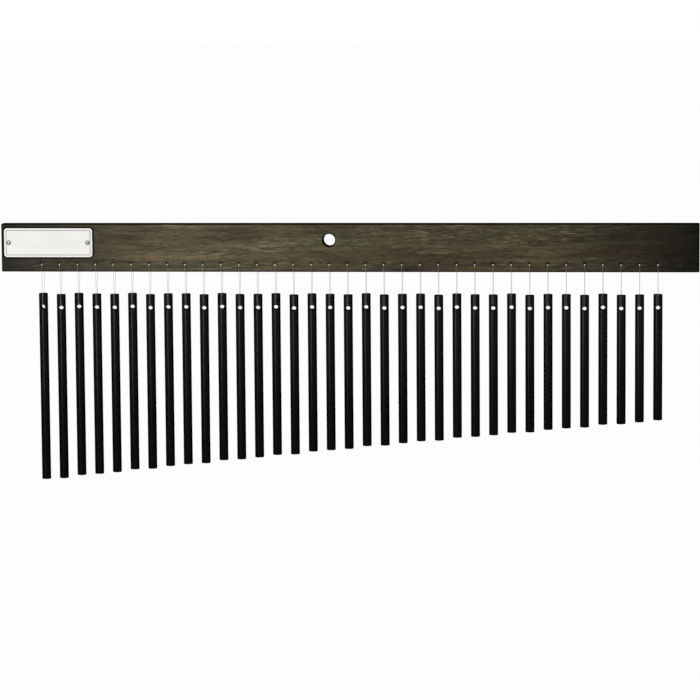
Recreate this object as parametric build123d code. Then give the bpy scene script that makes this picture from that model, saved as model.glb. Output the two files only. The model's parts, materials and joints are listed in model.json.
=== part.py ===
"""Bar chimes: a wooden mantle with a row of graduated metal bars hung on cord loops.

All sizes are in millimetres. The origin is the centre of the stand bore, halfway through the mantle.
+X runs along the mantle from the longest bar to the shortest, +Z is up, and the front faces -Y.
"""
import os
from math import pi, radians, sin

from build123d import *

# Row of bars
BAR_COUNT = 35
BAR_PITCH = 19.05
BAR_DIAMETER = 9.525
LONGEST_BAR = 198.5
SHORTEST_BAR = 132.1
TAPER_DIP = 2.0  # how far the middle bar falls short of a straight taper
BAR_END_ROUND = 0.6
BAR_DROP = 23.7  # from the mantle's lower edge to the tops of the bars
DROP_SCATTER = 0.7  # hand-tied loops leave the tops this uneven, up and down
SCATTER_STEP = 137.5  # degrees of phase from one bar to the next, so that no pattern shows

# Cross hole near the top of each bar
BAR_HOLE_DIAMETER = 4.4
BAR_HOLE_FROM_TOP = 14.2
BAR_HOLE_EASE = 0.6

# Mantle, the beam that carries everything
MANTLE_OVERHANG = 42.85  # from the centre of the last bar at each end to the mantle's end
MANTLE_HEIGHT = 50.8
MANTLE_THICKNESS = 12.7
MANTLE_ARRIS = 1.2

# Bore for the rod of a stand
BORE_DIAMETER = 12.7
BORE_FROM_TOP = 17.2
BORE_EASE = 0.5
BORE_BAR = 17  # the bar that hangs below the bore, counted from the longest

# Cord loops and the holes that they hang in
CORD_DIAMETER = 0.8
CORD_CLEARANCE = 0.05
CORD_HOLE_DIAMETER = 3.2
CORD_HOLE_ABOVE_EDGE = 9.0
CORD_HOLE_EASE = 0.6
KNOT_DIAMETER = 3.2
KNOT_LENGTH = 3.4
KNOT_ROUND = 0.8

# Nameplate
PLATE_LENGTH = 94.0
PLATE_HEIGHT = 30.5
PLATE_THICKNESS = 1.0
PLATE_CORNER = 3.2
PLATE_FROM_END = 3.25
PLATE_FROM_TOP = 4.75
PLATE_EDGE_EASE = 0.2

# Domed pins that hold the nameplate
PIN_HEAD_DIAMETER = 4.0
PIN_HEAD_HEIGHT = 1.2
PIN_SHANK_DIAMETER = 1.6
PIN_SHANK_LENGTH = 9.5
PIN_POINT = 1.6
PIN_INSET = 5.0  # from each end of the plate
PIN_CLEARANCE = 0.05

# Places worked out from the sizes above
MANTLE_LENGTH = (BAR_COUNT - 1) * BAR_PITCH + 2 * MANTLE_OVERHANG
MANTLE_LEFT = (1 - BORE_BAR) * BAR_PITCH - MANTLE_OVERHANG
MANTLE_TOP = BORE_FROM_TOP
MANTLE_BOTTOM = MANTLE_TOP - MANTLE_HEIGHT
MANTLE_FRONT = -MANTLE_THICKNESS / 2
CORD_HOLE_Z = MANTLE_BOTTOM + CORD_HOLE_ABOVE_EDGE
PLATE_LEFT = MANTLE_LEFT + PLATE_FROM_END
PLATE_MIDDLE_Z = MANTLE_TOP - PLATE_FROM_TOP - PLATE_HEIGHT / 2
PIN_PLACES = [PLATE_LEFT + PIN_INSET, PLATE_LEFT + PLATE_LENGTH - PIN_INSET]


def bar_x(number):
    """Place of a bar along the mantle, counted from the longest bar, which is 1."""
    return (number - BORE_BAR) * BAR_PITCH


def bar_length(number):
    """Length of a bar: a straight taper along the row that dips a little in the middle."""
    along = (number - 1) / (BAR_COUNT - 1)
    taper = LONGEST_BAR + (SHORTEST_BAR - LONGEST_BAR) * along
    return taper - TAPER_DIP * 4 * along * (1 - along)


def bar_top(number):
    """Height of a bar's top, a little uneven from bar to bar."""
    return MANTLE_BOTTOM - BAR_DROP + DROP_SCATTER * sin(radians(SCATTER_STEP * number))


def eased_hole(diameter, ease, depth):
    """Cutter for a through hole along Y, centred on the origin, with both mouths eased at 45 degrees."""
    radius = diameter / 2
    mouth = depth / 2
    wide = radius + 2 * ease
    half = [(0, mouth + ease), (wide, mouth + ease), (radius, mouth - ease)]
    other_half = [(r, -y) for r, y in reversed(half)]
    return revolve(make_face(Polyline(half + other_half, close=True)), Axis.Y)


def pin_cutter():
    """Cutter for a pin's hole along Y, from the plate's front to just past the pin's point."""
    depth = PIN_SHANK_LENGTH + PIN_CLEARANCE
    cutter = Cylinder(
        PIN_SHANK_DIAMETER / 2 + PIN_CLEARANCE,
        depth,
        align=(Align.CENTER, Align.CENTER, Align.MAX),
    )
    return Rot(90, 0, 0) * cutter


def make_mantle():
    """Beam with eased edges, the stand bore, a cord hole above each bar and blind holes for the pins."""
    blank = fillet(Box(MANTLE_LENGTH, MANTLE_THICKNESS, MANTLE_HEIGHT).edges(), MANTLE_ARRIS)
    beam = Pos(MANTLE_LEFT + MANTLE_LENGTH / 2, 0, (MANTLE_TOP + MANTLE_BOTTOM) / 2) * blank
    cord_hole = eased_hole(CORD_HOLE_DIAMETER, CORD_HOLE_EASE, MANTLE_THICKNESS)
    cutters = [Pos(bar_x(n), 0, CORD_HOLE_Z) * cord_hole for n in range(1, BAR_COUNT + 1)]
    cutters += [Pos(x, MANTLE_FRONT - PLATE_THICKNESS, PLATE_MIDDLE_Z) * pin_cutter() for x in PIN_PLACES]
    cutters += [eased_hole(BORE_DIAMETER, BORE_EASE, MANTLE_THICKNESS)]
    return beam - cutters


def make_nameplate():
    """Bare plate with round corners, flat on the mantle's front face."""
    outline = RectangleRounded(PLATE_LENGTH, PLATE_HEIGHT, PLATE_CORNER)
    plate = extrude(outline, PLATE_THICKNESS)
    plate = fillet(plate.faces().sort_by(Axis.Z)[-1].edges(), PLATE_EDGE_EASE)
    plate = Pos(PLATE_LEFT + PLATE_LENGTH / 2, MANTLE_FRONT, PLATE_MIDDLE_Z) * Rot(90, 0, 0) * plate
    front = MANTLE_FRONT - PLATE_THICKNESS
    return plate - [Pos(x, front, PLATE_MIDDLE_Z) * pin_cutter() for x in PIN_PLACES]


def make_pin(x):
    """Domed pin whose head sits on the plate and whose shank goes into the mantle."""
    head = PIN_HEAD_DIAMETER / 2
    shank = PIN_SHANK_DIAMETER / 2
    dome_radius = (head**2 + PIN_HEAD_HEIGHT**2) / (2 * PIN_HEAD_HEIGHT)
    dome = RadiusArc((0, PIN_HEAD_HEIGHT), (head, 0), dome_radius)
    rest = Polyline(
        (head, 0),
        (shank, 0),
        (shank, PIN_POINT - PIN_SHANK_LENGTH),
        (0, -PIN_SHANK_LENGTH),
        (0, PIN_HEAD_HEIGHT),
    )
    pin = revolve(make_face(dome + rest), Axis.Y)
    front = MANTLE_FRONT - PLATE_THICKNESS
    return Pos(x, front, PLATE_MIDDLE_Z) * Rot(180, 0, 0) * pin


def make_bar(number):
    """Solid rod with rounded ends and an eased cross hole, hung below its cord hole."""
    half = Rectangle(BAR_DIAMETER / 2, bar_length(number), align=(Align.MIN, Align.MAX))
    half = fillet(half.vertices().group_by(Axis.X)[-1], BAR_END_ROUND)
    rod = revolve(Plane.XZ * half, Axis.Z)
    rod -= Pos(0, 0, -BAR_HOLE_FROM_TOP) * eased_hole(BAR_HOLE_DIAMETER, BAR_HOLE_EASE, BAR_DIAMETER)
    return Pos(bar_x(number), 0, bar_top(number)) * rod


def loop_corners(number):
    """Corners of a cord loop's path, as (y, z), each with the radius that the cord turns there."""
    off = CORD_DIAMETER / 2 + CORD_CLEARANCE
    seat_z = CORD_HOLE_Z - CORD_HOLE_DIAMETER / 2 + off
    edge_z = MANTLE_BOTTOM + MANTLE_ARRIS
    hold_z = bar_top(number) - BAR_HOLE_FROM_TOP + BAR_HOLE_DIAMETER / 2 - off
    front_y = MANTLE_FRONT - off
    back_y = -MANTLE_FRONT + KNOT_DIAMETER / 2 + CORD_CLEARANCE
    bar_y = BAR_DIAMETER / 2 + off
    return [
        ((front_y, seat_z), CORD_HOLE_EASE + off),
        ((front_y, edge_z), MANTLE_ARRIS + off),
        ((-bar_y, hold_z), BAR_HOLE_EASE + off),
        ((bar_y, hold_z), BAR_HOLE_EASE + off),
        ((back_y, edge_z), MANTLE_ARRIS + off),
        ((back_y, seat_z), CORD_HOLE_EASE + off),
    ]


def loop_path(number):
    """Closed line that a cord loop follows, of straight runs and tangent arcs."""
    corners = loop_corners(number)
    points = [(bar_x(number), y, z) for (y, z), radius in corners]
    return FilletPolyline(points, radius=[radius for place, radius in corners], close=True)


def make_tube(number):
    """Cord of a loop, without its knot."""
    path = loop_path(number)
    return sweep(Plane(path @ 0, z_dir=path % 0) * Circle(CORD_DIAMETER / 2), path=path)


def make_knot(number):
    """Barrel knot that closes a loop, behind the mantle's cord hole, which it is too big to pass."""
    (back_y, seat_z), radius = loop_corners(number)[-1]
    barrel = Cylinder(KNOT_DIAMETER / 2, KNOT_LENGTH)
    knot = fillet(barrel.edges().filter_by(GeomType.CIRCLE), KNOT_ROUND)
    return Pos(bar_x(number), back_y, CORD_HOLE_Z) * knot


numbers = range(1, BAR_COUNT + 1)
tubes = [make_tube(n) for n in numbers]
pieces = {
    "mantle": make_mantle(),
    "nameplate": make_nameplate(),
    "nameplate_pin_left": make_pin(PIN_PLACES[0]),
    "nameplate_pin_right": make_pin(PIN_PLACES[1]),
    "cord_loops": Compound(children=[tube + make_knot(n) for n, tube in zip(numbers, tubes)]),
}
pieces.update({f"chime_bar_{n:02d}": make_bar(n) for n in numbers})

os.makedirs("parts", exist_ok=True)
for name, piece in pieces.items():
    export_step(piece, f"parts/{name}.step")

cord_section = pi * CORD_DIAMETER**2 / 4
for n, tube in zip(numbers, tubes):
    length = loop_path(n).length
    radii = [round(radius, 2) for place, radius in loop_corners(n)]
    print(f"loop {n}: length {length:.1f}, radii {radii}, volume / (section * length)",
          f"{tube.volume / (cord_section * length):.4f}")
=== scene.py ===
"""Finishes of a set of bar chimes: stained mantle, black bars, nameplate, pins and tied cord loops.

Everything is in metres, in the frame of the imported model: the origin is the centre of the stand
bore, +X runs from the longest bar to the shortest, +Z is up, and the front faces -Y.
"""
import json
import math

import bpy
from bpy.props import FloatProperty, FloatVectorProperty, IntProperty, PointerProperty
from mathutils import Matrix, Vector


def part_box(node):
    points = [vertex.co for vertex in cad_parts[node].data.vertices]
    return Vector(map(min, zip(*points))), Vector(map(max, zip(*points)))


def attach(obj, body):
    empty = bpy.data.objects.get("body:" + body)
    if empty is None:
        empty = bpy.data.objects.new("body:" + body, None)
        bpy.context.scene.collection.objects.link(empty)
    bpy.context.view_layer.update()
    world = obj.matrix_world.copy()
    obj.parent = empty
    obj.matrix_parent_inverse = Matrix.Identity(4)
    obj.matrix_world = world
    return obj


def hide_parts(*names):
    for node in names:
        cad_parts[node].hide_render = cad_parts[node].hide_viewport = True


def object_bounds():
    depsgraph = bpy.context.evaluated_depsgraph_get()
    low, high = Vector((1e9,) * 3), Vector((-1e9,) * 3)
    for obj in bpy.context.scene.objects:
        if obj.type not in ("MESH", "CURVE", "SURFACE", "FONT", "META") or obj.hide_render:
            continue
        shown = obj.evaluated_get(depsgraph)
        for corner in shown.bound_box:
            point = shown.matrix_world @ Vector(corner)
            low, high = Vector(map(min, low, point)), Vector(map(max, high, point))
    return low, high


bl_info = {
    "name": "Bar chimes finishes",
    "version": (1, 0, 0),
    "blender": (4, 5, 0),
    "location": "View3D > Sidebar > Chimes",
    "description": "Dresses the parts of a set of bar chimes and lights them",
    "category": "Object",
}

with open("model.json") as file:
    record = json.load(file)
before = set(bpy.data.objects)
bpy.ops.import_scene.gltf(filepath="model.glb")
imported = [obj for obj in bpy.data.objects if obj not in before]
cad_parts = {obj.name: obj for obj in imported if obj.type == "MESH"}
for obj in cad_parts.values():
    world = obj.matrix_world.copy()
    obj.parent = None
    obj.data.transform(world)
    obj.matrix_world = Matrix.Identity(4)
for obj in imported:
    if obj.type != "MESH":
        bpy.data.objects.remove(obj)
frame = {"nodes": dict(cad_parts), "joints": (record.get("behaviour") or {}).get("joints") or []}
CAD_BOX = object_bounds()
MANTLE_LOW, MANTLE_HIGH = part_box("mantle")
PLATE_LOW, PLATE_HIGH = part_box("nameplate")
LOOPS_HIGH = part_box("cord_loops")[1]
PIN_NODES = ["nameplate_pin_left", "nameplate_pin_right"]
BAR_NODES = sorted(name for name in frame["nodes"] if name.startswith("chime_bar_"))
BAR_LOW, BAR_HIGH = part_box(BAR_NODES[0])
CROSS_HOLES = [Vector(joint["pos_m"]) for joint in frame["joints"]]
BAR_RADIUS = (BAR_HIGH.y - BAR_LOW.y) / 2
BAR_PITCH = CROSS_HOLES[1].x - CROSS_HOLES[0].x

# Sizes of the solids that their boxes don't give
MM = 0.001
CROSS_HOLE_RADIUS = 2.2 * MM
CORD_HOLE_RADIUS = 1.6 * MM
CORD_HOLE_Z = MANTLE_LOW.z + 9.0 * MM
CORD_CLEARANCE = 0.05 * MM
HOLE_EASE = 0.6 * MM
BAR_END_ROUND = 0.6 * MM
MANTLE_ARRIS = 1.2 * MM
PLATE_CORNER = 3.2 * MM
BORE_RADIUS = 6.35 * MM

# Patterns: stretch along each axis, detail, and the levels of noise that count as none and full
WOOD_PATTERNS = {
    "tone": ((4.0, 60.0, 60.0), 3.0, 0.35, 0.65),
    "broad": ((3.0, 42.0, 42.0), 2.0, 0.30, 0.70),
    "streaks": ((15.0, 260.0, 260.0), 5.0, 0.34, 0.70),
    "fibres": ((120.0, 1300.0, 1300.0), 4.0, 0.32, 0.68),
    "pores": ((150.0, 900.0, 900.0), 2.0, 0.60, 0.72),
    "flecks": ((75.0, 750.0, 750.0), 4.0, 0.54, 0.70),
    "fleck_band": ((6.0, 60.0, 60.0), 1.0, 0.36, 0.62),
}
DRAWN_LINES = ((2600.0, 2600.0, 14.0), 2.0, 0.30, 0.75)
BAR_SMUDGES = ((120.0, 120.0, 45.0), 3.0, 0.40, 0.72)
PLATE_BRUSHING = ((30.0, 4000.0, 4000.0), 2.0, 0.25, 0.75)
PLATE_TARNISH = ((40.0, 40.0, 55.0), 4.0, 0.42, 0.75)
PIN_DULLNESS = ((900.0, 900.0, 900.0), 3.0, 0.35, 0.70)
CORD_CLOUD = ((700.0, 700.0, 160.0), 2.0, 0.35, 0.70)

# Wood. A pair of levels goes with a pattern's lowest and highest value.
WANDER_SCALE = 9.0
WANDER_DETAIL = 2.0
WANDER_REACH = (0.0, 10 * MM, 10 * MM)
STREAK_SHARE = 0.72
FLECK_SHARE = 0.50
PORE_SHARE = 0.55
BROAD_LEVELS = (0.70, 1.30)
FIBRE_LEVELS = (0.60, 1.38)
STREAK_SMOOTHER = 0.06
STREAK_ROUGHER = 0.12
WOOD_COAT = 0.14
FIBRE_RELIEF = 0.4
LIP_DEPTH = 5 * HOLE_EASE  # how far into the cord holes the paler bare wood and painted highlight of their lower lips reach

# Depth and strength of the relief
WOOD_RELIEF = (0.2 * MM, 0.35)
BAR_RELIEF = (0.04 * MM, 0.25)
PLATE_RELIEF = (0.03 * MM, 0.2)

# Bars
# Painted highlight: the upper part of each bar is painted paler grey.
PAINTED_SHEEN_SHARE = 0.75
LINE_SHARES = (0.10, 0.35)  # how strongly the drawn lines show, from one bar to another
SMUDGE_ROUGHNESS = (-0.04, 0.10)
FACING_BLEND = 0.5
METAL_FACING = (0.25, 0.60)  # from the middle of a bar, which shines, to its dull sides

# Plate and pins
BRUSHED_LEVELS = (0.95, 1.03)
TARNISH_LEVELS = (1.0, 0.94)
BRUSHED_ROUGHNESS = (0.34, 0.46)
PLATE_SPECULAR = 0.25
BORDER_SOFTNESS = 0.15
PIN_SHADE_FADE = (0.25 * MM, 0.6 * MM)
EDGE_RUB = 0.5 * MM
EDGE_SMOOTHER = 0.1
DULL_LEVELS = (1.0, 0.8)
DULL_ROUGHNESS = (0.22, 0.38)

# Cords and knots
CLOUD_LEVELS = (0.85, 1.0)
CORD_ROUGHNESS = (0.20, 0.32)
CORD_IOR = 1.50
CORD_SPECULAR = 0.2
STIFF_RISE = 0.7 * MM  # the front bend of stiff cord stands this far above its seat
WRAP_PITCH = 1.04  # from one turn of a knot to the next, in cord diameters
KNOT_TURN = 0.9  # the knots are turned by up to this either way, in radians
KNOT_SEED = 7
TAIL_RISES = (0.9, -0.7)  # of a knot's upper and lower tail, in tail lengths
TAIL_BEND_OUT = 0.30  # out from the knot's turns, in tail lengths
TAIL_BEND_UP = 0.35  # share of the rise at the bend
TAIL_END_OUT = 0.55

# How finely round forms are divided
CORD_SIDES = 12
KNOT_SIDES = 10
COIL_STEPS = 20
BEND_STEPS = 8
BAR_SIDES = 64
BAR_END_STEPS = 6
SHARP_ANGLE = 0.5  # radians

# Stage
PICTURE_PIXELS = 700
SENSOR_MM = 36.0
VIEW_END = 200.0
WORLD_LIGHT = 0.42
SUN_TOWARDS = Vector((-0.32, -0.56, 0.77))
SUN_ANGLE = math.radians(12.0)
SUN_STRENGTH = 0.6
STRIP_OFFSET = Vector((-0.65, -1.3, 0.1))
STRIP_SIZE = (0.3, 0.9)
STRIP_POWER = 12.0
FLOOR_HALF = 30.0
FLOOR_GLOW = 0.96  # share of its own white where the floor is seen directly
WHITE = (1.0, 1.0, 1.0, 1.0)
BLACK = (0.0, 0.0, 0.0, 1.0)

# Types of the sockets of node groups
VECTOR = "NodeSocketVector"
FLOAT = "NodeSocketFloat"
INTEGER = "NodeSocketInt"
GEOMETRY = "NodeSocketGeometry"
BOX_INPUTS = {"Vector": VECTOR, "Centre": VECTOR, "Half size": VECTOR}


def color_property(name, description, default):
    """Colour that a user can change, in linear RGB."""
    return FloatVectorProperty(
        name=name,
        description=description,
        default=default,
        subtype="COLOR",
        size=3,
        min=0.0,
        max=1.0,
    )


def length_property(name, description, default):
    """Length that a user can change, in metres."""
    return FloatProperty(
        name=name,
        description=description,
        default=default,
        min=0.0,
        unit="LENGTH",
        precision=5,
    )


def factor_property(name, description, default):
    """Share from 0 to 1 that a user can change."""
    return FloatProperty(
        name=name,
        description=description,
        default=default,
        min=0.0,
        max=1.0,
        subtype="FACTOR",
    )


def angle_property(name, description, degrees):
    """Angle that a user can change."""
    return FloatProperty(
        name=name,
        description=description,
        default=math.radians(degrees),
        subtype="ANGLE",
    )


class MantleFinish(bpy.types.PropertyGroup):
    """Dark stain on the wooden mantle."""

    warm_stain: color_property("Warm stain", "Brown of the stained wood", (0.101, 0.073, 0.039))
    cool_stain: color_property(
        "Cool stain", "Grey-green that shows through in places", (0.074, 0.068, 0.036)
    )
    dark_grain: color_property("Dark grain", "Darkest streaks of the grain", (0.015, 0.013, 0.007))
    pale_fleck: color_property(
        "Pale flecks", "Short pale marks along the grain", (0.270, 0.240, 0.155)
    )
    # Paler bare wood on the cord holes' lower lips, partly a painted highlight where the lips face
    # the light.
    rubbed_lip_highlight: color_property(
        "Rubbed lips", "Bare wood where the cords rub their holes", (0.26, 0.235, 0.185)
    )
    # Darker stain on the edges and narrow faces, which also serves as painted shade there, round
    # the nameplate and in the bore.
    edge_stain_and_shade: color_property(
        "Edge stain", "Stain that gathers on the edges", (0.006, 0.005, 0.004)
    )
    # Painted shade: the wood is painted darker towards both ends and to the right of the bore,
    # where the light falls off.
    left_painted_shade: factor_property("Left shade", "How much darker the left end is", 0.93)
    right_painted_shade: factor_property("Right shade", "How much darker the right end is", 0.94)
    middle_painted_shade: factor_property(
        "Middle shade", "How much darker the stain is to the right of the bore", 0.21
    )
    painted_shade_length: length_property("Shade length", "How far the darker stain reaches", 0.16)
    grain_slope: angle_property("Grain slope", "Angle of the grain to the mantle", 1.2)
    edge_width: length_property(
        "Edge width", "How far the dark stain of the narrow faces reaches", 0.0017
    )
    # Painted shadow: the wood is painted dark in a band round the nameplate.
    plate_shadow_width: length_property(
        "Grime width", "How far the dark line round the nameplate reaches", 0.0023
    )
    roughness: factor_property("Roughness", "Roughness of the satin finish", 0.46)


class BarFinish(bpy.types.PropertyGroup):
    """Black anodising on the bars."""

    anodising: color_property("Anodising", "Black of the bars", (0.0036, 0.0036, 0.0035))
    # The paler grey serves the real drawn lines and a painted highlight on each bar's upper part.
    worn_and_sheen: color_property(
        "Worn", "Paler grey of the drawn lines and of the rubbed tops", (0.0095, 0.0095, 0.0092)
    )
    painted_sheen_length: length_property(
        "Rubbed length", "How far down from its top a bar is rubbed pale", 0.13
    )
    roughness: factor_property("Roughness", "Roughness of the anodised skin", 0.25)
    twist: angle_property(
        "Twist", "Turn of the long bars on their cords, which falls to none at the shortest", 9.5
    )


class PlateFinish(bpy.types.PropertyGroup):
    """White skin of the nameplate and nickel of its pins."""

    plate: color_property("Plate", "White skin of the plate", (0.650, 0.642, 0.620))
    border: color_property("Border", "Printed line round the plate", (0.18, 0.178, 0.172))
    border_inset: length_property(
        "Border inset", "From the plate's edge to the middle of the line", 0.0023
    )
    border_width: length_property("Border width", "Width of the printed line", 0.0007)
    # Painted shade: a dark ring round each pin's head on the plate.
    ring: color_property("Rings", "Dirt round the heads of the pins", (0.018, 0.018, 0.018))
    pin: color_property("Pins", "Dulled nickel of the pins", (0.34, 0.335, 0.32))


class CordFinish(bpy.types.PropertyGroup):
    """Clear cord loops and the knots that close them."""

    diameter: length_property("Diameter", "Thickness of the cord", 0.0008)
    wraps: IntProperty(name="Wraps", description="Turns of each knot", default=4, min=1, max=12)
    knot_diameter: length_property("Knot diameter", "Across the turns of a knot", 0.0039)
    tail: length_property("Tail", "Length of the cut ends beyond a knot", 0.0032)
    clear: color_property("Clear", "Tint of the clear cord", (0.44, 0.44, 0.43))
    # Painted highlight: the cords' front bends are painted pale as a glint.
    painted_glint: color_property(
        "Shine", "Pale glint where a cord bends into its hole", (0.90, 0.90, 0.88)
    )
    # Painted shade: the knots and the cord behind the mantle are tinted dark, so that the holes
    # read dark.
    knot: color_property(
        "Knots", "Tint of the knots, which lie on dark wood", (0.020, 0.020, 0.019)
    )
    body: factor_property("Body", "How much of what is behind the cord it hides", 0.29)
    body_on_dark: factor_property(
        "Body on dark", "The same where a cord lies on the wood or on a bar", 0.08
    )


class StageSettings(bpy.types.PropertyGroup):
    """Camera and floor."""

    camera_place: FloatVectorProperty(
        name="Camera",
        description="Place of the camera",
        default=(0.349, -3.500, 0.299),
        subtype="TRANSLATION",
        size=3,
    )
    camera_yaw: angle_property("Yaw", "Turn of the camera to the left", 5.36)
    camera_pitch: angle_property("Pitch", "Tilt of the camera downwards", 6.74)
    camera_roll: angle_property("Roll", "Turn of the camera about its view", -0.44)
    focal_pixels: FloatProperty(
        name="Focal length", description="In pixels of the picture", default=3367.0
    )
    floor_gap: length_property("Floor gap", "From the longest bar down to the floor", 0.35)
    floor: color_property("Floor", "Pale floor", (0.92, 0.92, 0.915))


def connect(tree, value, socket):
    """Links a socket to an input, or sets the input's own value."""
    if isinstance(value, bpy.types.NodeSocket):
        tree.links.new(value, socket)
    else:
        socket.default_value = value


def fill_inputs(tree, node, inputs):
    """Links or sets a node's inputs, given by name or number."""
    for key, value in inputs.items():
        connect(tree, value, node.inputs[key])


def add_node(tree, kind, inputs=None, **settings):
    """Adds a node with its settings, and then its inputs, as values or other nodes' outputs."""
    node = tree.nodes.new(kind)
    for name, value in settings.items():
        setattr(node, name, value)
    fill_inputs(tree, node, inputs or {})
    return node


def math_node(tree, operation, *values):
    """Result of a Math node."""
    inputs = dict(enumerate(values))
    return add_node(tree, "ShaderNodeMath", inputs, operation=operation).outputs[0]


def chained(tree, operation, first, *others):
    """Result of one Math operation over several values, from left to right."""
    for other in others:
        first = math_node(tree, operation, first, other)
    return first


def vector_math(tree, operation, *values):
    """Result of a Vector Math node."""
    inputs = dict(enumerate(values))
    return add_node(tree, "ShaderNodeVectorMath", inputs, operation=operation).outputs[0]


def axes(tree, vector):
    """Parts of a vector, by the names X, Y and Z."""
    return add_node(tree, "ShaderNodeSeparateXYZ", {0: vector}).outputs


def vector_of(tree, **parts):
    """Vector from its parts along X, Y and Z; those left out are zero."""
    return add_node(tree, "ShaderNodeCombineXYZ", parts).outputs[0]


def mix_colors(tree, factor, first, second, blend="MIX"):
    """Result of mixing two colours."""
    node = add_node(tree, "ShaderNodeMix", data_type="RGBA", blend_type=blend)
    connect(tree, factor, node.inputs["Factor"])
    for key, value in (("A_Color", first), ("B_Color", second)):
        socket = next(s for s in node.inputs if s.identifier == key)
        connect(tree, value, socket)
    return next(s for s in node.outputs if s.identifier == "Result_Color")


def shaded(tree, color, level):
    """Colour times a level."""
    return mix_colors(tree, 1.0, color, level, "MULTIPLY")


def remap(tree, value, low, high, to_low=0.0, to_high=1.0):
    """Value carried from one range to another, held inside it."""
    inputs = {0: value, 1: low, 2: high, 3: to_low, 4: to_high}
    return add_node(tree, "ShaderNodeMapRange", inputs).outputs[0]


def between(tree, share, empty, full):
    """Value between two levels, by a share from 0 to 1."""
    return remap(tree, share, 0.0, 1.0, empty, full)


def rgba(color):
    """Colour with full opacity."""
    return (*color, 1.0)


def new_group(name, kind, inputs, outputs):
    """Empty node group with sockets, given as their names and types, and the ends of its tree."""
    tree = bpy.data.node_groups.new(name, kind)
    for in_out, sockets in (("INPUT", inputs), ("OUTPUT", outputs)):
        for label, socket_type in sockets.items():
            tree.interface.new_socket(label, in_out=in_out, socket_type=socket_type)
    given = tree.nodes.new("NodeGroupInput").outputs
    return tree, given, tree.nodes.new("NodeGroupOutput").inputs


def stretched_noise_group(name):
    """Noise drawn out along an axis, for grain, fibres and drawn or brushed lines."""
    inputs = {"Vector": VECTOR, "Stretch": VECTOR, "Detail": FLOAT, "From": FLOAT, "To": FLOAT}
    tree, given, result = new_group(name, "ShaderNodeTree", inputs, {"Value": FLOAT})
    drawn_out = vector_math(tree, "MULTIPLY", given["Vector"], given["Stretch"])
    noise_inputs = {"Vector": drawn_out, "Scale": 1.0, "Detail": given["Detail"]}
    noise = add_node(tree, "ShaderNodeTexNoise", noise_inputs).outputs[0]
    connect(tree, remap(tree, noise, given["From"], given["To"]), result["Value"])
    return tree


def past_sides(tree, given):
    """How far a place lies past the sides of a group's box on each axis, negative inside them."""
    offset = vector_math(tree, "SUBTRACT", given["Vector"], given["Centre"])
    apart = vector_math(tree, "ABSOLUTE", offset)
    return vector_math(tree, "SUBTRACT", apart, given["Half size"])


def outline_group(name):
    """Distance from a round-cornered outline in the front view, negative inside it."""
    inputs = {**BOX_INPUTS, "Corner": FLOAT}
    tree, given, result = new_group(name, "ShaderNodeTree", inputs, {"Distance": FLOAT})
    past_corner = vector_math(tree, "ADD", past_sides(tree, given), given["Corner"])
    flat = vector_math(tree, "MULTIPLY", past_corner, (1.0, 0.0, 1.0))
    outside = vector_math(tree, "MAXIMUM", flat, (0.0, 0.0, 0.0))
    length = add_node(tree, "ShaderNodeVectorMath", {0: outside}, operation="LENGTH")
    parts = axes(tree, flat)
    inside = math_node(tree, "MINIMUM", math_node(tree, "MAXIMUM", parts["X"], parts["Z"]), 0.0)
    reach = math_node(tree, "ADD", length.outputs["Value"], inside)
    connect(tree, math_node(tree, "SUBTRACT", reach, given["Corner"]), result["Distance"])
    return tree


def box_group(name):
    """Mask of what lies in a box, fading out past its sides."""
    inputs = {**BOX_INPUTS, "Fade": FLOAT}
    tree, given, result = new_group(name, "ShaderNodeTree", inputs, {"Mask": FLOAT})
    farthest = chained(tree, "MAXIMUM", *axes(tree, past_sides(tree, given)))
    connect(tree, remap(tree, farthest, 0.0, given["Fade"], 1.0, 0.0), result["Mask"])
    return tree


def group_value(tree, name, builder, inputs):
    """Value of a shared shader group, which is built the first time it is asked for."""
    group = bpy.data.node_groups.get(name) or builder(name)
    return add_node(tree, "ShaderNodeGroup", inputs, node_tree=group).outputs[0]


def stretched_noise(tree, vector, stretch, detail, low, high):
    """Value of the shared stretched noise."""
    inputs = {"Vector": vector, "Stretch": stretch, "Detail": detail, "From": low, "To": high}
    return group_value(tree, "Stretched noise", stretched_noise_group, inputs)


def box_inputs(vector, low, high):
    """What a group needs to measure a place from the box between two corners."""
    return {"Vector": vector, "Centre": (low + high) / 2, "Half size": (high - low) / 2}


def outline_distance(tree, vector, low, high, corner):
    """Distance from the outline of a piece that fills the box from low to high, negative inside."""
    inputs = {**box_inputs(vector, low, high), "Corner": corner}
    return group_value(tree, "Outline distance", outline_group, inputs)


def round_distance(tree, vector, centre, radius):
    """Distance from a circle in the front view, negative inside it."""
    reach = Vector.Fill(3, radius)
    return outline_distance(tree, vector, centre - reach, centre + reach, radius)


def within_box(tree, vector, low, high, fade):
    """Mask of what lies between two corners."""
    inputs = {**box_inputs(vector, low, high), "Fade": fade}
    return group_value(tree, "Within box", box_group, inputs)


def new_material(name):
    """Material with only a Principled shader, and the Object coordinates that its patterns read."""
    material = bpy.data.materials.new(name)
    material.use_nodes = True
    tree = material.node_tree
    tree.nodes.clear()
    shader = tree.nodes.new("ShaderNodeBsdfPrincipled")
    add_node(tree, "ShaderNodeOutputMaterial", {"Surface": shader.outputs[0]})
    place = tree.nodes.new("ShaderNodeTexCoord").outputs["Object"]
    return material, tree, shader, place


def relief(tree, height, distance, strength):
    """Normal of a surface whose height varies."""
    inputs = {"Height": height, "Distance": distance, "Strength": strength}
    return add_node(tree, "ShaderNodeBump", inputs).outputs[0]


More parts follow.
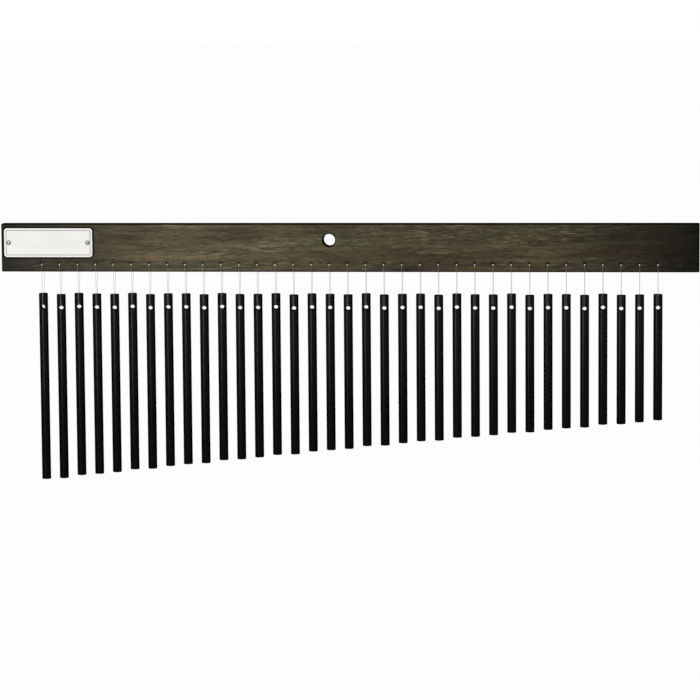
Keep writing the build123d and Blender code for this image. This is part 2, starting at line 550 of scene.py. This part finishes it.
def grain_place(tree, place, slope):
    """Place in the grain, which runs at a slope to the mantle and wanders a little."""
    inputs = {"Vector": place, "Rotation": (0.0, slope, 0.0)}
    sloped = add_node(tree, "ShaderNodeMapping", inputs).outputs[0]
    inputs = {"Vector": sloped, "Scale": WANDER_SCALE, "Detail": WANDER_DETAIL}
    wander = add_node(tree, "ShaderNodeTexNoise", inputs).outputs["Color"]
    centred = vector_math(tree, "SUBTRACT", wander, (0.5, 0.5, 0.5))
    return vector_math(tree, "ADD", sloped, vector_math(tree, "MULTIPLY", centred, WANDER_REACH))


def painted_light_falloff(tree, place, finish):
    """Level of the painted shade along the mantle, where the light falls off to the right of the
    bore and towards both ends.
    """
    x = axes(tree, place)["X"]
    reach = finish.painted_shade_length
    left = remap(tree, x, MANTLE_LOW.x, MANTLE_LOW.x + reach, 1.0 - finish.left_painted_shade, 1.0)
    right = remap(tree, x, MANTLE_HIGH.x - reach, MANTLE_HIGH.x, 1.0, 1.0 - finish.right_painted_shade)
    middle = remap(tree, x, -reach / 2, 0.0, 1.0, 1.0 - finish.middle_painted_shade)
    return chained(tree, "MULTIPLY", left, right, middle)


def dark_edges_and_painted_shade(tree, place, finish):
    """Mask of darker stain and painted shade on the mantle's edges and narrow faces, of painted
    shade round the nameplate and of painted shade in and round the bore.
    """
    rim = outline_distance(tree, place, MANTLE_LOW, MANTLE_HIGH, MANTLE_ARRIS)
    edge = remap(tree, rim, -finish.edge_width, -finish.edge_width / 2)
    y = axes(tree, place)["Y"]
    front = remap(tree, y, MANTLE_LOW.y, MANTLE_LOW.y + MANTLE_ARRIS, 1.0, 0.0)
    # Painted shadow of the nameplate on the wood round it.
    from_plate = outline_distance(tree, place, PLATE_LOW, PLATE_HIGH, PLATE_CORNER)
    round_plate = remap(tree, from_plate, finish.plate_shadow_width / 2, finish.plate_shadow_width, 1.0, 0.0)
    plate_shadow = math_node(tree, "MULTIPLY", front, round_plate)
    # Painted shade in the bore and on the wood round its mouth.
    from_bore = round_distance(tree, place, Vector(), BORE_RADIUS)
    bore = remap(tree, from_bore, finish.edge_width / 2, finish.edge_width, 1.0, 0.0)
    return chained(tree, "MAXIMUM", edge, plate_shadow, bore)


def lit_lip_box():
    """Corners of the box round all the cord holes' lower lips, just behind the mantle's front,
    where a painted highlight goes.
    """
    beside = 2 * CORD_HOLE_RADIUS
    low = (CROSS_HOLES[0].x - beside, MANTLE_LOW.y + HOLE_EASE, CORD_HOLE_Z - beside)
    top = CORD_HOLE_Z - CORD_HOLE_RADIUS / 2
    high = (CROSS_HOLES[-1].x + beside, MANTLE_LOW.y + LIP_DEPTH, top)
    return Vector(low), Vector(high)


def stained_wood(finish):
    """Dark stained wood with its grain along the mantle, pores, pale flecks, darker edges, painted
    shade and painted highlights.
    """
    material, tree, shader, place = new_material("stained_wood")
    along = grain_place(tree, place, finish.grain_slope)
    grain = {name: stretched_noise(tree, along, *rest) for name, rest in WOOD_PATTERNS.items()}
    color = mix_colors(tree, grain["tone"], rgba(finish.warm_stain), rgba(finish.cool_stain))
    streaks = math_node(tree, "MULTIPLY", grain["streaks"], STREAK_SHARE)
    color = mix_colors(tree, streaks, color, rgba(finish.dark_grain))
    color = shaded(tree, color, between(tree, grain["broad"], *BROAD_LEVELS))
    color = shaded(tree, color, between(tree, grain["fibres"], *FIBRE_LEVELS))
    flecks = chained(tree, "MULTIPLY", grain["flecks"], grain["fleck_band"], FLECK_SHARE)
    color = mix_colors(tree, flecks, color, rgba(finish.pale_fleck))
    pores = math_node(tree, "MULTIPLY", grain["pores"], PORE_SHARE)
    color = mix_colors(tree, pores, color, rgba(finish.dark_grain))
    # Painted shade where the light falls off along the mantle.
    color = shaded(tree, color, painted_light_falloff(tree, place, finish))
    # Darker stain and painted shade on the edges, painted shade round the nameplate and in the
    # bore.
    dark = dark_edges_and_painted_shade(tree, place, finish)
    color = mix_colors(tree, dark, color, rgba(finish.edge_stain_and_shade))
    # Paler bare wood and a painted highlight on the holes' lower lips.
    lips = within_box(tree, place, *lit_lip_box(), HOLE_EASE / 2)
    color = mix_colors(tree, lips, color, rgba(finish.rubbed_lip_highlight))

    smoothest = finish.roughness - STREAK_SMOOTHER
    roughest = finish.roughness + STREAK_ROUGHER
    fibres = math_node(tree, "MULTIPLY", grain["fibres"], FIBRE_RELIEF)
    height = math_node(tree, "SUBTRACT", fibres, grain["pores"])
    inputs = {
        "Base Color": color,
        "Roughness": between(tree, grain["streaks"], smoothest, roughest),
        "Specular IOR Level": 0.0,
        "Coat Weight": between(tree, dark, WOOD_COAT, 0.0),
        "Coat Roughness": finish.roughness,
        "Normal": relief(tree, height, *WOOD_RELIEF),
    }
    fill_inputs(tree, shader, inputs)
    return material


def black_anodising(finish):
    """Black skin with faint drawn lines; the bars differ a little and have a painted highlight near
    the top.
    """
    material, tree, shader, place = new_material("black_bar")
    lines = stretched_noise(tree, place, *DRAWN_LINES)
    smudge = stretched_noise(tree, place, *BAR_SMUDGES)
    parts = axes(tree, place)
    number = math_node(tree, "ROUND", math_node(tree, "DIVIDE", parts["X"], BAR_PITCH))
    each = add_node(tree, "ShaderNodeTexWhiteNoise", {"W": number}, noise_dimensions="1D")
    line_share = between(tree, each.outputs["Value"], *LINE_SHARES)
    # Painted highlight on the upper part of each bar.
    painted_sheen_from = BAR_HIGH.z - finish.painted_sheen_length
    painted_sheen = remap(tree, parts["Z"], painted_sheen_from, BAR_HIGH.z, 0.0, PAINTED_SHEEN_SHARE)
    worn_and_sheen = math_node(tree, "MULTIPLY_ADD", lines, line_share, painted_sheen)
    uneven = between(tree, smudge, *SMUDGE_ROUGHNESS)
    facing = add_node(tree, "ShaderNodeLayerWeight", {"Blend": FACING_BLEND}).outputs["Facing"]
    inputs = {
        "Base Color": mix_colors(tree, worn_and_sheen, rgba(finish.anodising), rgba(finish.worn_and_sheen)),
        "Roughness": math_node(tree, "ADD", uneven, finish.roughness),
        "Metallic": remap(tree, facing, *METAL_FACING, 1.0, 0.0),
        "Specular IOR Level": 0.0,
        "Specular Tint": BLACK,
        "Normal": relief(tree, lines, *BAR_RELIEF),
    }
    fill_inputs(tree, shader, inputs)
    return material


def border_mask(tree, rim, finish):
    """Mask of a plain printed line at an even distance from the plate's outline."""
    off_line = math_node(tree, "ABSOLUTE", math_node(tree, "ADD", rim, finish.border_inset))
    half_width = finish.border_width / 2
    inner = half_width * (1.0 - BORDER_SOFTNESS)
    outer = half_width * (1.0 + BORDER_SOFTNESS)
    return remap(tree, off_line, inner, outer, 1.0, 0.0)


def pin_shade_ring(tree, place, box):
    """Mask of the painted shade where a pin's head meets the plate."""
    low, high = box
    from_head = round_distance(tree, place, (low + high) / 2, (high.x - low.x) / 2)
    return remap(tree, from_head, *PIN_SHADE_FADE, 1.0, 0.0)


def white_plate(finish):
    """White skin, faintly brushed, with a printed border, painted shade round the pins and smooth
    edges.
    """
    material, tree, shader, place = new_material("nameplate_metal")
    brushed = stretched_noise(tree, place, *PLATE_BRUSHING)
    tarnish = stretched_noise(tree, place, *PLATE_TARNISH)
    rim = outline_distance(tree, place, PLATE_LOW, PLATE_HIGH, PLATE_CORNER)
    color = shaded(tree, rgba(finish.plate), between(tree, brushed, *BRUSHED_LEVELS))
    color = shaded(tree, color, between(tree, tarnish, *TARNISH_LEVELS))
    color = mix_colors(tree, border_mask(tree, rim, finish), color, rgba(finish.border))
    # Painted shade round the heads of the pins.
    pin_shade_rings = [pin_shade_ring(tree, place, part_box(name)) for name in PIN_NODES]
    pin_shade = chained(tree, "MAXIMUM", *pin_shade_rings)
    worn_edge = remap(tree, rim, -EDGE_RUB, 0.0, 0.0, EDGE_SMOOTHER)
    rough = between(tree, brushed, *BRUSHED_ROUGHNESS)
    inputs = {
        "Base Color": mix_colors(tree, pin_shade, color, rgba(finish.ring)),
        "Roughness": math_node(tree, "SUBTRACT", rough, worn_edge),
        "Specular IOR Level": PLATE_SPECULAR,
        "Normal": relief(tree, brushed, *PLATE_RELIEF),
    }
    fill_inputs(tree, shader, inputs)
    return material


def nickel_pin(finish):
    """Nickel of the domed pins, a little dulled."""
    material, tree, shader, place = new_material("pin_metal")
    dull = stretched_noise(tree, place, *PIN_DULLNESS)
    inputs = {
        "Base Color": shaded(tree, rgba(finish.pin), between(tree, dull, *DULL_LEVELS)),
        "Roughness": between(tree, dull, *DULL_ROUGHNESS),
        "Metallic": 1.0,
    }
    fill_inputs(tree, shader, inputs)
    return material


def cord_zone(tree, place, low, high, fade):
    """Mask of the cords over the whole row, between two corners given as (y, z)."""
    low = Vector((MANTLE_LOW.x, *low))
    high = Vector((MANTLE_HIGH.x, *high))
    return within_box(tree, place, low, high, fade)


def clear_cord(finish):
    """Clear line that hides less on dark things and has a painted glint where it bends into its
    hole.
    """
    material, tree, shader, place = new_material("clear_cord")
    cloud = stretched_noise(tree, place, *CORD_CLOUD)
    front, back = 2 * MANTLE_LOW.y, 2 * LOOPS_HIGH.y
    # Zones: the open run below the mantle, the front bend with its painted glint, and the cord
    # behind the mantle with its painted shade.
    zones = [
        ((front, BAR_HIGH.z), (back, MANTLE_LOW.z)),
        ((front, CORD_HOLE_Z - CORD_HOLE_RADIUS), (MANTLE_LOW.y + HOLE_EASE, MANTLE_HIGH.z)),
        ((0.0, MANTLE_LOW.z), (back, MANTLE_HIGH.z)),
    ]
    masks = [cord_zone(tree, place, low, high, finish.diameter) for low, high in zones]
    open_run, bend, behind = masks
    # Painted glint on the front bends.
    tint = mix_colors(tree, bend, rgba(finish.clear), rgba(finish.painted_glint))
    # Painted shade on the cord and knots behind the mantle.
    tint = mix_colors(tree, behind, tint, rgba(finish.knot))
    body = between(tree, open_run, finish.body_on_dark, finish.body)
    inputs = {
        "Base Color": shaded(tree, tint, between(tree, cloud, *CLOUD_LEVELS)),
        "Roughness": between(tree, cloud, *CORD_ROUGHNESS),
        "IOR": CORD_IOR,
        "Specular IOR Level": CORD_SPECULAR,
        "Alpha": math_node(tree, "MAXIMUM", body, math_node(tree, "MAXIMUM", bend, behind)),
    }
    fill_inputs(tree, shader, inputs)
    return material


def dress(nodes, material):
    """Gives CAD nodes a finish."""
    for name in nodes:
        slots = frame["nodes"][name].data.materials
        slots.clear()
        slots.append(material)


def link_object(name, data):
    """New object in the scene."""
    thing = bpy.data.objects.new(name, data)
    bpy.context.scene.collection.objects.link(thing)
    return thing


def line_object(name, lines, closed):
    """Curve object of straight lines, each a list of points as (place, radius)."""
    curve = bpy.data.curves.new(name, "CURVE")
    curve.dimensions = "3D"
    for points in lines:
        spline = curve.splines.new("POLY")
        spline.points.add(len(points) - 1)
        spline.use_cyclic_u = closed
        for point, (place, radius) in zip(spline.points, points):
            point.co = (*place, 1.0)
            point.radius = radius
    return link_object(name, curve)


def bar_twist(hole, largest):
    """Turn of a bar on its cord, less along the row; the end bars swing far and hang straight."""
    if hole is CROSS_HOLES[0]:
        return 0.0
    return largest * (CROSS_HOLES[-1].x - hole.x) / (CROSS_HOLES[-1].x - CROSS_HOLES[0].x)


def knot_y(cord):
    """Place of the knots behind the mantle."""
    return LOOPS_HIGH.y - cord.knot_diameter / 2


def loop_corners(hole, cord, twist):
    """Corners of one loop's line, as (place, radius of the turn), through its bar's cross hole."""
    off = cord.diameter / 2 + CORD_CLEARANCE
    seat_z = CORD_HOLE_Z - CORD_HOLE_RADIUS + off
    edge_z = MANTLE_LOW.z + MANTLE_ARRIS
    hold_z = hole.z + CROSS_HOLE_RADIUS - off
    front_y = MANTLE_LOW.y - off
    back_y = knot_y(cord)
    bar_x = (BAR_RADIUS + off) * math.sin(twist)
    bar_y = (BAR_RADIUS + off) * math.cos(twist)
    return [
        ((hole.x, front_y, seat_z + STIFF_RISE), HOLE_EASE + off + STIFF_RISE),
        ((hole.x, front_y, edge_z), MANTLE_ARRIS + off),
        ((hole.x + bar_x, -bar_y, hold_z), HOLE_EASE + off),
        ((hole.x - bar_x, bar_y, hold_z), HOLE_EASE + off),
        ((hole.x, back_y, edge_z), MANTLE_ARRIS + off),
        ((hole.x, back_y, seat_z), HOLE_EASE + off),
    ]


def changed(tree, kind, geometry, inputs=None, **settings):
    """Geometry after a node that changes it."""
    return add_node(tree, kind, {0: geometry, **(inputs or {})}, **settings).outputs[0]


def joined(tree, parts):
    """Several geometries as one."""
    node = add_node(tree, "GeometryNodeJoinGeometry")
    for part in parts:
        tree.links.new(part, node.inputs[0])
    return node.outputs[0]


def tube(tree, line, diameter, sides, caps):
    """Round tube along a line of a geometry tree."""
    radius = math_node(tree, "MULTIPLY", diameter, 0.5)
    inputs = {"Resolution": sides, "Radius": radius}
    ring = add_node(tree, "GeometryNodeCurvePrimitiveCircle", inputs).outputs[0]
    inputs = {"Profile Curve": ring, "Fill Caps": caps}
    return changed(tree, "GeometryNodeCurveToMesh", line, inputs)


def knot_tail(tree, given, end, rise):
    """Cut end that leaves a knot and bends away from the mantle."""
    wrap, tail = given["Wrap radius"], given["Tail"]
    lift = math_node(tree, "MULTIPLY", tail, rise)
    bend_y = math_node(tree, "MULTIPLY_ADD", tail, TAIL_BEND_OUT, wrap)
    bend_z = math_node(tree, "MULTIPLY_ADD", lift, TAIL_BEND_UP, end)
    stop_y = math_node(tree, "MULTIPLY_ADD", tail, TAIL_END_OUT, wrap)
    stop_z = math_node(tree, "ADD", lift, end)
    inputs = {
        "Resolution": BEND_STEPS,
        "Start": vector_of(tree, Y=wrap, Z=end),
        "Middle": vector_of(tree, Y=bend_y, Z=bend_z),
        "End": vector_of(tree, Y=stop_y, Z=stop_z),
    }
    bend = add_node(tree, "GeometryNodeCurveQuadraticBezier", inputs).outputs[0]
    return tube(tree, bend, given["Diameter"], KNOT_SIDES, True)


def barrel_knot(tree, given):
    """Knot of even turns about its middle, with two cut ends."""
    height = chained(tree, "MULTIPLY", given["Diameter"], WRAP_PITCH, given["Wraps"])
    inputs = {
        "Resolution": COIL_STEPS,
        "Rotations": given["Wraps"],
        "Start Radius": given["Wrap radius"],
        "End Radius": given["Wrap radius"],
        "Height": height,
    }
    coil = add_node(tree, "GeometryNodeCurveSpiral", inputs).outputs[0]
    upper = math_node(tree, "MULTIPLY", height, 0.5)
    lower = math_node(tree, "MULTIPLY", upper, -1.0)
    drop = vector_of(tree, Z=lower)
    centred = changed(tree, "GeometryNodeSetPosition", coil, {"Offset": drop})
    parts = [tube(tree, centred, given["Diameter"], KNOT_SIDES, True)]
    for end, rise in zip((upper, lower), TAIL_RISES):
        parts.append(knot_tail(tree, given, end, rise))
    return joined(tree, parts)


def loops_tree(material):
    """Geometry tree that rounds the loops' corners, makes them tubes and ties a knot on each."""
    inputs = {
        "Lines": GEOMETRY,
        "Diameter": FLOAT,
        "Wraps": FLOAT,
        "Wrap radius": FLOAT,
        "Tail": FLOAT,
        "First knot": VECTOR,
        "Knots": INTEGER,
        "Pitch": FLOAT,
    }
    outputs = {"Loops": GEOMETRY}
    tree, given, result = new_group("Cord loops", "GeometryNodeTree", inputs, outputs)
    turn = tree.nodes.new("GeometryNodeInputRadius").outputs[0]
    inputs = {"Radius": turn, "Count": BEND_STEPS, "Limit Radius": True}
    rounded = changed(tree, "GeometryNodeFilletCurve", given["Lines"], inputs, mode="POLY")
    even = changed(tree, "GeometryNodeSetCurveRadius", rounded, {"Radius": 1.0})
    strands = tube(tree, even, given["Diameter"], CORD_SIDES, False)

    inputs = {
        "Count": given["Knots"],
        "Start Location": given["First knot"],
        "Offset": vector_of(tree, X=given["Pitch"]),
    }
    row = add_node(tree, "GeometryNodeMeshLine", inputs).outputs[0]
    inputs = {0: (0.0, 0.0, -KNOT_TURN), 1: (0.0, 0.0, KNOT_TURN), "Seed": KNOT_SEED}
    turned = add_node(tree, "FunctionNodeRandomValue", inputs, data_type="FLOAT_VECTOR")
    inputs = {"Instance": barrel_knot(tree, given), "Rotation": turned.outputs[0]}
    knots = changed(tree, "GeometryNodeInstanceOnPoints", row, inputs)

    whole = joined(tree, [strands, knots])
    plain = changed(tree, "GeometryNodeRealizeInstances", whole)
    smooth = changed(tree, "GeometryNodeSetShadeSmooth", plain)
    finished = changed(tree, "GeometryNodeSetMaterial", smooth, {"Material": material})
    connect(tree, finished, result["Loops"])
    return tree


def rod_line(low, high):
    """Points of a bar's axis as (z, radius), from its lower end to its upper, both rounded."""
    flat = BAR_RADIUS - BAR_END_ROUND
    turns = [math.pi / 2 * step / BAR_END_STEPS for step in range(BAR_END_STEPS + 1)]
    lower = [
        (low + BAR_END_ROUND * (1 - math.sin(turn)), flat + BAR_END_ROUND * math.cos(turn))
        for turn in reversed(turns)
    ]
    upper = [(high - (z - low), radius) for z, radius in reversed(lower)]
    return lower + upper


def hole_line():
    """Points of a cross hole's axis as (y, radius), wider at both eased mouths."""
    wide = CROSS_HOLE_RADIUS + 2 * HOLE_EASE
    outer = BAR_RADIUS + HOLE_EASE
    inner = BAR_RADIUS - HOLE_EASE
    return [(-outer, wide), (-inner, CROSS_HOLE_RADIUS), (inner, CROSS_HOLE_RADIUS), (outer, wide)]


def bar_axes(name, hole, twist):
    """Axes of a bar and of its turned cross hole, which is the origin, as (place, radius there)."""
    low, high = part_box(name)
    rod = [((0.0, 0.0, z), radius) for z, radius in rod_line(low.z - hole.z, high.z - hole.z)]
    across, along = -math.sin(twist), math.cos(twist)
    bore = [((y * across, y * along, 0.0), radius) for y, radius in hole_line()]
    return [rod, bore]


def turned_tree(material):
    """Geometry tree that turns the first line into a rod and bores the other lines out of it."""
    inputs = {"Lines": GEOMETRY, "Sides": INTEGER, "Place": VECTOR}
    outputs = {"Bar": GEOMETRY}
    tree, given, result = new_group("Turned bar", "GeometryNodeTree", inputs, outputs)
    number = tree.nodes.new("GeometryNodeInputIndex").outputs[0]
    first = add_node(tree, "FunctionNodeCompare", {2: number}, data_type="INT", operation="EQUAL")
    inputs = {"Geometry": given["Lines"], "Selection": first.outputs[0]}
    parted = add_node(tree, "GeometryNodeSeparateGeometry", inputs, domain="CURVE")
    radius = tree.nodes.new("GeometryNodeInputRadius").outputs[0]
    inputs = {"Resolution": given["Sides"], "Radius": 1.0}
    ring = add_node(tree, "GeometryNodeCurvePrimitiveCircle", inputs).outputs[0]
    inputs = {"Profile Curve": ring, "Scale": radius, "Fill Caps": True}
    rod, bore = [
        changed(tree, "GeometryNodeCurveToMesh", lines, inputs) for lines in parted.outputs
    ]
    bored = add_node(
        tree,
        "GeometryNodeMeshBoolean",
        {"Mesh 1": rod, "Mesh 2": bore},
        operation="DIFFERENCE",
        solver="MANIFOLD",
    )
    smooth = changed(tree, "GeometryNodeSetShadeSmooth", bored.outputs[0])
    angle = tree.nodes.new("GeometryNodeInputMeshEdgeAngle").outputs["Unsigned Angle"]
    sharp = math_node(tree, "GREATER_THAN", angle, SHARP_ANGLE)
    inputs = {"Selection": sharp, "Shade Smooth": False}
    crisp = changed(tree, "GeometryNodeSetShadeSmooth", smooth, inputs, domain="EDGE")
    moved = changed(tree, "GeometryNodeSetPosition", crisp, {"Offset": given["Place"]})
    plain = changed(tree, "GeometryNodeRealizeInstances", moved)
    finished = changed(tree, "GeometryNodeSetMaterial", plain, {"Material": material})
    connect(tree, finished, result["Bar"])
    return tree


def grown_mesh(lines, tree, values, name):
    """Plain mesh object of what a geometry tree makes of lines, which are removed."""
    modifier = lines.modifiers.new(tree.name, "NODES")
    modifier.node_group = tree
    for item in tree.interface.items_tree:
        if item.item_type == "SOCKET" and item.in_out == "INPUT" and item.name in values:
            modifier[item.identifier] = values[item.name]
    graph = bpy.context.evaluated_depsgraph_get()
    mesh = bpy.data.meshes.new_from_object(lines.evaluated_get(graph))
    mesh.name = name
    material = next(slot for slot in mesh.materials if slot)
    mesh.materials.clear()
    mesh.materials.append(material)
    mesh.polygons.foreach_set("material_index", [0] * len(mesh.polygons))
    bpy.data.objects.remove(lines)
    return link_object(name, mesh)


class CHIMES_OT_finish_mantle(bpy.types.Operator):
    """Stain the mantle"""

    bl_idname = "chimes.finish_mantle"
    bl_label = "Stain the mantle"

    def execute(self, context):
        dress(["mantle"], stained_wood(context.scene.chimes_mantle))
        return {"FINISHED"}


class CHIMES_OT_turn_bars(bpy.types.Operator):
    """Turn the round bars and anodise them black"""

    bl_idname = "chimes.turn_bars"
    bl_label = "Turn the bars"

    def execute(self, context):
        finish = context.scene.chimes_bars
        tree = turned_tree(black_anodising(finish))
        for name, joint, hole in zip(BAR_NODES, frame["joints"], CROSS_HOLES):
            bar_lines = bar_axes(name, hole, bar_twist(hole, finish.twist))
            lines = line_object("bar_lines", bar_lines, closed=False)
            values = {"Sides": BAR_SIDES, "Place": hole}
            bar = grown_mesh(lines, tree, values, f"turned_{name}")
            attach(bar, joint["child"])
            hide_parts(name)
        return {"FINISHED"}


class CHIMES_OT_finish_nameplate(bpy.types.Operator):
    """Finish the nameplate and its pins"""

    bl_idname = "chimes.finish_nameplate"
    bl_label = "Finish the nameplate"

    def execute(self, context):
        finish = context.scene.chimes_plate
        dress(["nameplate"], white_plate(finish))
        dress(PIN_NODES, nickel_pin(finish))
        return {"FINISHED"}


class CHIMES_OT_tie_cords(bpy.types.Operator):
    """Hang a tied cord loop on every bar"""

    bl_idname = "chimes.tie_cords"
    bl_label = "Tie the cord loops"

    def execute(self, context):
        cord = context.scene.chimes_cords
        largest = context.scene.chimes_bars.twist
        loop_lines = [loop_corners(hole, cord, bar_twist(hole, largest)) for hole in CROSS_HOLES]
        lines = line_object("cord_lines", loop_lines, closed=True)
        values = {
            "Diameter": cord.diameter,
            "Wraps": float(cord.wraps),
            "Wrap radius": (cord.knot_diameter - cord.diameter) / 2,
            "Tail": cord.tail,
            "First knot": (CROSS_HOLES[0].x, knot_y(cord), CORD_HOLE_Z),
            "Knots": len(CROSS_HOLES),
            "Pitch": BAR_PITCH,
        }
        loops = grown_mesh(lines, loops_tree(clear_cord(cord)), values, "tied_cord_loops")
        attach(loops, "root")
        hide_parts("cord_loops")
        return {"FINISHED"}


def seen_directly(tree):
    """1 for rays from the camera and from glossy or clear surfaces, 0 for the light on things."""
    path = tree.nodes.new("ShaderNodeLightPath").outputs
    rays = ("Is Camera Ray", "Is Glossy Ray", "Is Transmission Ray")
    return chained(tree, "MAXIMUM", *(path[ray] for ray in rays))


def pale_floor_material(color):
    """Pale floor that looks white to the camera and in reflections, and keeps soft shadows."""
    material = bpy.data.materials.new("pale_floor")
    material.use_nodes = True
    tree = material.node_tree
    tree.nodes.clear()
    diffuse = add_node(tree, "ShaderNodeBsdfDiffuse", {"Color": rgba(color)}).outputs[0]
    glow = add_node(tree, "ShaderNodeEmission", {"Color": WHITE, "Strength": 1.0}).outputs[0]
    share = math_node(tree, "MULTIPLY", seen_directly(tree), FLOOR_GLOW)
    mixed = add_node(tree, "ShaderNodeMixShader", {0: share, 1: diffuse, 2: glow})
    add_node(tree, "ShaderNodeOutputMaterial", {"Surface": mixed.outputs[0]})
    return material


def white_world():
    """White surroundings, with a softer level for the light that they cast."""
    world = bpy.data.worlds.new("white_studio")
    bpy.context.scene.world = world
    world.use_nodes = True
    tree = world.node_tree
    tree.nodes.clear()
    strength = between(tree, seen_directly(tree), WORLD_LIGHT, 1.0)
    back = add_node(tree, "ShaderNodeBackground", {"Color": WHITE, "Strength": strength})
    add_node(tree, "ShaderNodeOutputWorld", {"Surface": back.outputs[0]})


def aim(direction):
    """Turn of a lamp that shines along a direction."""
    return direction.to_track_quat("-Z", "Y").to_euler()


def strip_lamp(target):
    """Tall soft lamp to the front left that shines at a point."""
    lamp = bpy.data.lights.new("strip_lamp", "AREA")
    lamp.shape = "RECTANGLE"
    lamp.size, lamp.size_y = STRIP_SIZE
    lamp.energy = STRIP_POWER
    holder = link_object("strip_lamp", lamp)
    holder.location = target + STRIP_OFFSET
    holder.rotation_euler = aim(target - holder.location)


def sun_lamp():
    """Even light over the whole floor, with soft shadows."""
    lamp = bpy.data.lights.new("sun_lamp", "SUN")
    lamp.energy = SUN_STRENGTH
    lamp.angle = SUN_ANGLE
    holder = link_object("sun_lamp", lamp)
    holder.rotation_euler = aim(-SUN_TOWARDS)


def pale_floor(height, color):
    """Wide floor under the chimes."""
    sides = [(-1, -1), (1, -1), (1, 1), (-1, 1)]
    corners = [(x * FLOOR_HALF, y * FLOOR_HALF, height) for x, y in sides]
    mesh = bpy.data.meshes.new("floor")
    mesh.from_pydata(corners, [], [(0, 1, 2, 3)])
    mesh.materials.append(pale_floor_material(color))
    floor = link_object("floor", mesh)


def photo_camera(stage):
    """Camera at the photograph's angle."""
    camera = bpy.data.cameras.new("photo_camera")
    camera.sensor_fit = "HORIZONTAL"
    camera.sensor_width = SENSOR_MM
    camera.lens = stage.focal_pixels / PICTURE_PIXELS * SENSOR_MM
    camera.clip_end = VIEW_END
    tilt = Matrix.Rotation(math.pi / 2 - stage.camera_pitch, 4, "X")
    turn = Matrix.Rotation(stage.camera_yaw, 4, "Z") @ tilt
    roll = Matrix.Rotation(stage.camera_roll, 4, "Z")
    holder = link_object("photo_camera", camera)
    holder.matrix_world = Matrix.Translation(stage.camera_place) @ turn @ roll
    bpy.context.scene.camera = holder


class CHIMES_OT_set_stage(bpy.types.Operator):
    """Set up the floor, the light and the camera"""

    bl_idname = "chimes.set_stage"
    bl_label = "Set the stage"

    def execute(self, context):
        stage = context.scene.chimes_stage
        context.scene.view_settings.view_transform = "Standard"
        white_world()
        pale_floor(CAD_BOX[0][2] - stage.floor_gap, stage.floor)
        sun_lamp()
        middle = (MANTLE_LOW + MANTLE_HIGH) / 2
        strip_lamp(Vector((middle.x, 0.0, CROSS_HOLES[0].z)))
        photo_camera(stage)
        return {"FINISHED"}


class CHIMES_PT_finishes(bpy.types.Panel):
    """Finishes of the bar chimes"""

    bl_idname = "CHIMES_PT_finishes"
    bl_label = "Bar chimes"
    bl_space_type = "VIEW_3D"
    bl_region_type = "UI"
    bl_category = "Chimes"

    def draw(self, context):
        for label, (operator, settings) in STEPS.items():
            box = self.layout.box()
            box.operator(operator.bl_idname)
            group = getattr(context.scene, label)
            for name in settings.__annotations__:
                box.prop(group, name)


STEPS = {
    "chimes_mantle": (CHIMES_OT_finish_mantle, MantleFinish),
    "chimes_bars": (CHIMES_OT_turn_bars, BarFinish),
    "chimes_plate": (CHIMES_OT_finish_nameplate, PlateFinish),
    "chimes_cords": (CHIMES_OT_tie_cords, CordFinish),
    "chimes_stage": (CHIMES_OT_set_stage, StageSettings),
}


def register():
    """Registers the settings, the operators and the panel."""
    for label, (operator, settings) in STEPS.items():
        bpy.utils.register_class(settings)
        bpy.utils.register_class(operator)
        setattr(bpy.types.Scene, label, PointerProperty(type=settings))
    bpy.utils.register_class(CHIMES_PT_finishes)


def unregister():
    """Takes them all away again."""
    bpy.utils.unregister_class(CHIMES_PT_finishes)
    for label, (operator, settings) in reversed(STEPS.items()):
        delattr(bpy.types.Scene, label)
        bpy.utils.unregister_class(operator)
        bpy.utils.unregister_class(settings)


def main():
    """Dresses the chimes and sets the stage."""
    register()
    bpy.ops.chimes.finish_mantle()
    bpy.ops.chimes.turn_bars()
    bpy.ops.chimes.finish_nameplate()
    bpy.ops.chimes.tie_cords()
    bpy.ops.chimes.set_stage()


if __name__ == "__main__":
    main()
